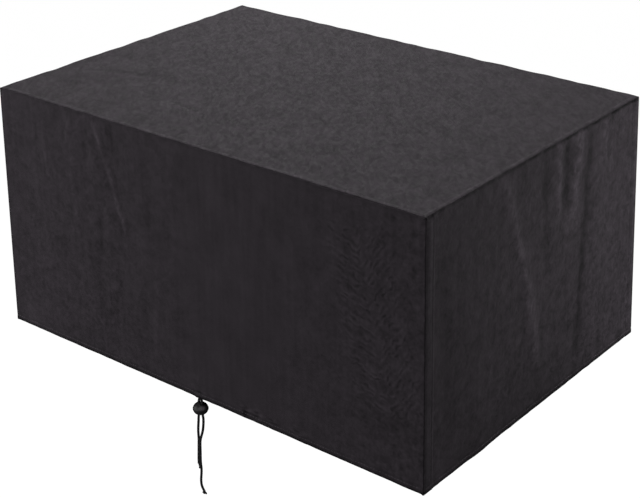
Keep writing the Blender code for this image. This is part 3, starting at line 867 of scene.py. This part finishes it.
def topSurface(across, down):
    # across from the left seam, down from the back seam
    length, width = coverShape["length"], coverShape["width"]
    fromLeft, outLeft = sewnEdge(across, sewing["topRound"])
    fromRight, outRight = sewnEdge(length - across, sewing["topRound"])
    fromBack, outBack = sewnEdge(down, sewing["topRound"])
    fromFront, outFront = sewnEdge(width - down, sewing["topRound"])
    x = numpy.where(across < length / 2, fromLeft, length - fromRight) - length / 2
    y = width / 2 - numpy.where(down < width / 2, fromBack, width - fromFront)
    toSide = numpy.minimum(numpy.minimum(across, length - across), numpy.minimum(down, width - down))
    toSide = numpy.clip(toSide, 0.0, None)
    free = ease(toSide, coverShape["seamStiff"])
    relief, rubbed = foldRelief(x, y, folds["topPanel"], topSeed)
    blotted = 1.0 + unevenAt("topPatchiness", x, y, topSeed)
    # painted shade along the top's rim
    for distance, (amount, reach) in zip((across, length - across, down, width - down), topPaintedShade):
        rubbed -= amount * blotted * press(numpy.clip(distance, 0.0, None), reach)
    # painted highlight on the ridge beside the top's rim
    rubbed += blotted * bandAt("topHighlight", toSide)
    relief = free * (relief + unevenAt("topRipple", x, y, topSeed)) + bandAt("topRidge", toSide)
    relief += seamNear(toSide) * unevenAt("topPucker", x, y, topSeed)
    rise = coverShape["topFace"] + relief + outLeft + outRight + outBack + outFront
    rise += seamWander(x, y, toSide)
    return numpy.stack((x, y, rise), axis=1), rubbed, numpy.ones_like(x)


def makeTop():
    side = seamMarks(sewing["topRound"])
    start, spacing = coverShape["topMesh"]
    columns, rows = [placesAlong(side + ((start, spacing), (size - start, spacing)) + mirrored(side, size))
                     for size in (coverShape["length"], coverShape["width"])]
    return makePanel("topPanel", "top_panel", clothMaterials["topCloth"], columns, rows, topSurface)


topPanel = makeTop()
for wallName, flatSize in (("frontPanel", (1.26, 0.66)), ("rightPanel", (0.92, 0.66)),
                           ("backPanel", (1.27, 0.66)), ("leftPanel", (0.92, 0.66))):
    panel = makeWall(wallName)

print("stitching")

stitch = {
    "pitch": 0.0078,
    "size": (0.0052, 0.0011, 0.0007),
    "lift": 0.0001,
    "fromSeam": 0.010,      # where a row of stitches starts and ends
    "fromTop": 0.012,
    "fromFoot": 0.008,
    "step": 0.0005,         # a place this far ahead tells which way the row runs
    "sides": 6,
    "rings": 4,
}


def addStitches(name, wallName, cloth, down, alongDown, material):
    points = wallSurface(wallName, cloth, down)[0]
    ahead = (0.0, stitch["step"]) if alongDown else (stitch["step"], 0.0)
    nextPoints = wallSurface(wallName, cloth + ahead[0], down + ahead[1])[0]
    outward = Vector(wallOutward(wallName))
    size = Matrix.Diagonal((*[side / 2 for side in stitch["size"]], 1.0))
    bm = bmesh.new()
    for place, nextPlace in zip(points, nextPoints):
        along = (Vector(nextPlace) - Vector(place)).normalized()
        side = outward.cross(along).normalized()
        turn = Matrix((along, side, along.cross(side))).transposed().to_4x4()
        centre = Matrix.Translation(Vector(place) + outward * stitch["lift"])
        bmesh.ops.create_uvsphere(bm, u_segments=stitch["sides"], v_segments=stitch["rings"], radius=1.0,
                                  matrix=centre @ turn @ size @ Matrix.Rotation(math.pi / 2, 4, "Y"))
    mesh = meshFrom(bm, name)
    mesh.shade_smooth()
    addPiece(name, mesh, material, "cover_cloth")


def makeStitching():
    height = coverShape["height"]
    for wallName, wall in walls.items():
        length = wallLength(wallName)
        cloth = numpy.arange(stitch["fromSeam"], length - stitch["fromSeam"], stitch["pitch"])
        down = numpy.full(len(cloth), height - sewing["hemHeight"])
        addStitches(wallName + "HemStitching", wallName, cloth, down, False, plainMaterials["sewingThread"])
        if wall["turnedSeam"]:
            down = numpy.arange(stitch["fromTop"], height - stitch["fromFoot"], stitch["pitch"])
            for label, place in (("Start", sewing["bandStitch"]), ("End", length - sewing["bandStitch"])):
                cloth = numpy.full(len(down), place)
                addStitches(wallName + label + "Topstitching", wallName, cloth, down, True,
                            plainMaterials["bandThread"])


makeStitching()

print("drawcord and lock")

cord = {
    "diameter": 0.006,
    "braidPitch": 0.016,
    "braidCarriers": 8,
    "braidDepth": 0.00025,
    "ringSpacing": 0.0011,
    "sides": 24,
    "capShare": 0.35,       # what lies nearer its middle than this share is the cord's flat end
    "curveSteps": 16,
    # the first point of each is inside the hem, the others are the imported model's own route
    "longRoute": (
        (0.0050, -0.4405, -0.6180),
        (0.0052, -0.4405, -0.6262), (0.0056, -0.4405, -0.6288), (0.0063, -0.4405, -0.6318),
        (0.0070, -0.4405, -0.6348), (0.0073, -0.4405, -0.6378), (0.0073, -0.4405, -0.6420),
        (0.0073, -0.4405, -0.6480), (0.0073, -0.4405, -0.6550), (0.0073, -0.4405, -0.6630),
        (0.0076, -0.4403, -0.6695), (0.0082, -0.4399, -0.6764), (0.0085, -0.4400, -0.6860),
        (0.0079, -0.4404, -0.6971), (0.0068, -0.4410, -0.7083), (0.0055, -0.4419, -0.7166),
        (0.0038, -0.4431, -0.7244), (0.0021, -0.4443, -0.7320), (0.0009, -0.4450, -0.7404),
        (0.0003, -0.4452, -0.7503), (0.0000, -0.4451, -0.7645), (-0.0004, -0.4450, -0.7787),
        (-0.0008, -0.4450, -0.7929), (-0.0008, -0.4445, -0.8044), (-0.0004, -0.4439, -0.8159),
        (-0.0007, -0.4437, -0.8275), (-0.0015, -0.4441, -0.8390), (-0.0022, -0.4445, -0.8505),
        (-0.0020, -0.4442, -0.8620), (-0.0007, -0.4431, -0.8707), (0.0011, -0.4416, -0.8776),
        (0.0029, -0.4400, -0.8837),
    ),
    "shortRoute": (
        (-0.0010, -0.4405, -0.6175),
        (-0.0012, -0.4405, -0.6257), (-0.0017, -0.4405, -0.6285), (-0.0026, -0.4405, -0.6318),
        (-0.0034, -0.4405, -0.6350), (-0.0037, -0.4405, -0.6380), (-0.0037, -0.4405, -0.6420),
        (-0.0037, -0.4405, -0.6480), (-0.0037, -0.4405, -0.6550), (-0.0037, -0.4405, -0.6630),
        (-0.0042, -0.4409, -0.6700), (-0.0051, -0.4413, -0.6785), (-0.0056, -0.4414, -0.6868),
        (-0.0061, -0.4419, -0.6963), (-0.0066, -0.4425, -0.7072), (-0.0067, -0.4428, -0.7182),
        (-0.0064, -0.4427, -0.7292), (-0.0063, -0.4427, -0.7403), (-0.0063, -0.4434, -0.7513),
        (-0.0066, -0.4437, -0.7637), (-0.0069, -0.4441, -0.7759), (-0.0073, -0.4443, -0.7869),
        (-0.0079, -0.4440, -0.7980), (-0.0087, -0.4431, -0.8072),
    ),
}


def smoothRoute(route, spacing):
    # points about one spacing apart on the smooth curve through the route's own points
    places = [Vector(point) for point in route]
    ends = [places[0] * 2 - places[1]] + places + [places[-1] * 2 - places[-2]]
    fine = []
    for before, start, end, after in zip(ends, ends[1:], ends[2:], ends[3:]):
        for step in range(cord["curveSteps"]):
            share = step / cord["curveSteps"]
            fine.append(0.5 * (2.0 * start + (end - before) * share
                               + (2.0 * before - 5.0 * start + 4.0 * end - after) * share ** 2
                               + (3.0 * start - before - 3.0 * end + after) * share ** 3))
    fine.append(places[-1])
    return evenPoints(fine, spacing)


def evenPoints(fine, spacing):
    travelled = [0.0]
    for start, end in zip(fine, fine[1:]):
        travelled.append(travelled[-1] + (end - start).length)
    count = max(2, round(travelled[-1] / spacing))
    points = []
    index = 0
    for step in range(count + 1):
        target = travelled[-1] * step / count
        while index < len(fine) - 2 and travelled[index + 1] < target:
            index += 1
        part = (target - travelled[index]) / (travelled[index + 1] - travelled[index])
        points.append(fine[index].lerp(fine[index + 1], part))
    return points, travelled[-1]


def evaluatedMesh(item):
    bpy.context.view_layer.update()
    return bpy.data.meshes.new_from_object(item.evaluated_get(bpy.context.evaluated_depsgraph_get()))


def tubeMesh(name, points, radius, sides, tipLength=0.0):
    curve = bpy.data.curves.new(name, "CURVE")
    curve.dimensions = "3D"
    curve.bevel_depth = radius
    curve.bevel_resolution = sides // 2 - 2
    curve.use_fill_caps = True
    spline = curve.splines.new("POLY")
    spline.points.add(len(points) - 1)
    for splinePoint, point in zip(spline.points, points):
        splinePoint.co = (*point, 1.0)
        fromTip = (points[-1] - point).length
        if fromTip < tipLength:
            splinePoint.radius = math.sqrt(max(0.03, 1.0 - (1.0 - fromTip / tipLength) ** 2))
    holder = addObject(name, curve)
    mesh = evaluatedMesh(holder)
    bpy.data.objects.remove(holder)
    bm = bmesh.new()
    bm.from_mesh(mesh)
    bmesh.ops.remove_doubles(bm, verts=bm.verts, dist=0.00001)
    bmesh.ops.recalc_face_normals(bm, faces=bm.faces)
    bm.to_mesh(mesh)
    bm.free()
    mesh.name = name
    mesh.shade_smooth()
    return mesh


def braidRelief(mesh, points, length):
    # raises the crossing ribs of a round braid along the tube
    line = numpy.array([tuple(point) for point in points])
    flat = placesOf(mesh)
    nearest = numpy.argmin(((flat[:, None, :] - line[None, :, :]) ** 2).sum(axis=2), axis=1)
    travelled = nearest * length / (len(points) - 1)
    away = flat - line[nearest]
    turn = numpy.arctan2(away[:, 1], away[:, 0])
    lead = 2.0 * math.pi * travelled / cord["braidPitch"]
    half = cord["braidCarriers"] / 2
    ribs = numpy.abs(numpy.sin(half * (turn + lead))) * numpy.abs(numpy.sin(half * (turn - lead)))
    reach = numpy.linalg.norm(away, axis=1)
    isSide = reach > cord["diameter"] * cord["capShare"]
    scale = numpy.where(isSide, cord["braidDepth"] * (ribs - 0.5) / numpy.maximum(reach, 0.0001), 0.0)
    flat += away * scale[:, None]
    mesh.vertices.foreach_set("co", flat.ravel())
    mesh.update()


knot = {
    "scale": (0.00095, 0.00090, 0.00032),
    "reach": 2.02,
    "steps": 120,
    "spacing": 0.0008,
    "cordShare": 0.76,      # the cord is drawn thinner in its knot
    "sides": 14,
    "tail": 0.004,
    "tip": 0.0022,
}


def makeKnot(name, node, cordEnd, direction, roll):
    # an overhand knot drawn tight, on the plain open knot curve, with a short sealed tail
    fine = []
    for step in range(knot["steps"] + 1):
        turn = knot["reach"] * (1.0 - 2.0 * step / knot["steps"])
        curve = (turn ** 3 - 3.0 * turn, turn ** 4 - 4.0 * turn ** 2 + 1.6, turn ** 5 - 10.0 * turn)
        fine.append(Vector([value * scale for value, scale in zip(curve, knot["scale"])]))
    fine.append(fine[-1] + Vector((0.0, 0.0, -knot["tail"])))
    top = fine[0]
    turnTo = (-direction).to_track_quat("Z", "Y").to_matrix() @ Matrix.Rotation(math.radians(roll), 3, "Z")
    fine = [cordEnd + turnTo @ (point - top) for point in fine]
    points = evenPoints(fine, knot["spacing"])[0]
    mesh = tubeMesh(name, points, cord["diameter"] / 2 * knot["cordShare"], knot["sides"], knot["tip"])
    return addPiece(name, mesh, plainMaterials["braidedCord"], "drawcord", node)


lock = {
    "centre": (0.0018, -0.4405, -0.6520),
    "radius": 0.0180,
    "halfHeight": 0.0150,
    "roundness": 2.2,
    "belt": 0.0006,
    "beltHalfHeight": 0.0034,
    "beltEdge": 8,                              # the higher, the squarer
    "highlightAt": (0.0141, -0.0074, 0.0076),      # painted highlight: the plastic is painted paler round this place on its front
    "highlightStretch": (1.0, 1.0, 2.1),
    "highlightReach": (0.0030, 0.0140),
    "highlightGain": 13.0,
    "holeOffset": 0.0055,
    "holeRadius": 0.0034,
    "holeSides": 40,
    "cutLength": 0.05,
    "edgeAngle": 40.0,
    "rim": 0.0004,
    "turns": 72,
    "profileSteps": 48,
}


def paintLockHighlight():
    # paints a highlight on the lock's plastic: paler round a place on its front, in a flat band
    tree = plainMaterials["lockPlastic"].node_tree
    add = nodeMaker(tree)
    baseColour = tree.nodes["Principled BSDF"].inputs["Base Color"]
    place = Vector(lock["centre"]) + Vector(lock["highlightAt"])
    away = vectorMaths(add, "SUBTRACT", {0: add("ShaderNodeTexCoord").outputs["Object"], 1: place})[0]
    away = vectorMaths(add, "MULTIPLY", {0: away, 1: lock["highlightStretch"]})[0]
    distance = vectorMaths(add, "LENGTH", {0: away})["Value"]
    rubbed = mapRange(add, distance, *lock["highlightReach"], lock["highlightGain"], 1.0, "SMOOTHSTEP")
    paler = vectorMaths(add, "SCALE", {0: baseColour.links[0].from_socket, "Scale": rubbed})[0]
    tree.links.new(paler, baseColour)


def lockBodyMesh():
    # a turned round body with a raised belt
    bm = bmesh.new()
    previous = None
    for step in range(lock["profileSteps"] + 1):
        angle = math.pi * (0.5 - step / lock["profileSteps"])
        radius = lock["radius"] * abs(math.cos(angle)) ** (2.0 / lock["roundness"])
        rise = math.copysign(lock["halfHeight"] * abs(math.sin(angle)) ** (2.0 / lock["roundness"]), angle)
        belt = 1.0 / (1.0 + (rise / lock["beltHalfHeight"]) ** lock["beltEdge"])
        radius += lock["belt"] * belt
        if step in (0, lock["profileSteps"]):
            radius = 0.0
        vert = bm.verts.new((radius, 0.0, rise))
        if previous:
            bm.edges.new((previous, vert))
        previous = vert
    bmesh.ops.spin(bm, geom=list(bm.verts) + list(bm.edges), cent=(0, 0, 0), axis=(0, 0, 1),
                   angle=2.0 * math.pi, steps=lock["turns"], use_merge=True)
    bmesh.ops.remove_doubles(bm, verts=bm.verts, dist=0.000001)
    bmesh.ops.recalc_face_normals(bm, faces=bm.faces)
    bmesh.ops.translate(bm, verts=bm.verts, vec=lock["centre"])
    return meshFrom(bm, "cordLock")


def makeLock():
    body = addPiece("cordLock", lockBodyMesh(), plainMaterials["lockPlastic"], "lock_plastic", "cord_lock")
    cutters = []
    for side in (-1.0, 1.0):
        bm = bmesh.new()
        bmesh.ops.create_cone(bm, cap_ends=True, segments=lock["holeSides"], radius1=lock["holeRadius"],
                              radius2=lock["holeRadius"], depth=lock["cutLength"])
        place = Vector(lock["centre"]) + Vector((side * lock["holeOffset"], 0.0, 0.0))
        bmesh.ops.translate(bm, verts=bm.verts, vec=place)
        cut = body.modifiers.new("hole", "BOOLEAN")
        cut.operation = "DIFFERENCE"
        cut.object = addObject("cordHole", meshFrom(bm, "cordHole"))
        cutters.append(cut.object)
    finished = evaluatedMesh(body)
    body.modifiers.clear()
    body.data = finished
    for cutter in cutters:
        bpy.data.objects.remove(cutter)
    finished.shade_smooth()
    finished.set_sharp_from_angle(angle=math.radians(lock["edgeAngle"]))
    rim = body.modifiers.new("rim", "BEVEL")
    rim.width = lock["rim"]
    rim.segments = 2
    rim.limit_method = "ANGLE"
    rim.angle_limit = math.radians(lock["edgeAngle"])
    return body


def makeStrand(name, node, route):
    points, measured = smoothRoute(route, cord["ringSpacing"])
    print(name, "is", round(measured, 4), "m long")
    mesh = tubeMesh(name, points, cord["diameter"] / 2, cord["sides"])
    braidRelief(mesh, points, measured)
    strand = addPiece(name, mesh, plainMaterials["braidedCord"], "drawcord", node)


def makeDrawcord():
    paintLockHighlight()
    cordLock = makeLock()
    for label, node, roll in (("long", "long_knot", 0.0), ("short", "short_knot", 115.0)):
        points = smoothRoute(cord[label + "Route"], cord["ringSpacing"])[0]
        direction = (points[-1] - points[-3]).normalized()
        makeKnot(label + "Knot", node, points[-1], direction, roll)
    makeStrand("longStrand", "long_strand", cord["longRoute"])
    makeStrand("shortStrand", "short_strand", cord["shortRoute"])


makeDrawcord()
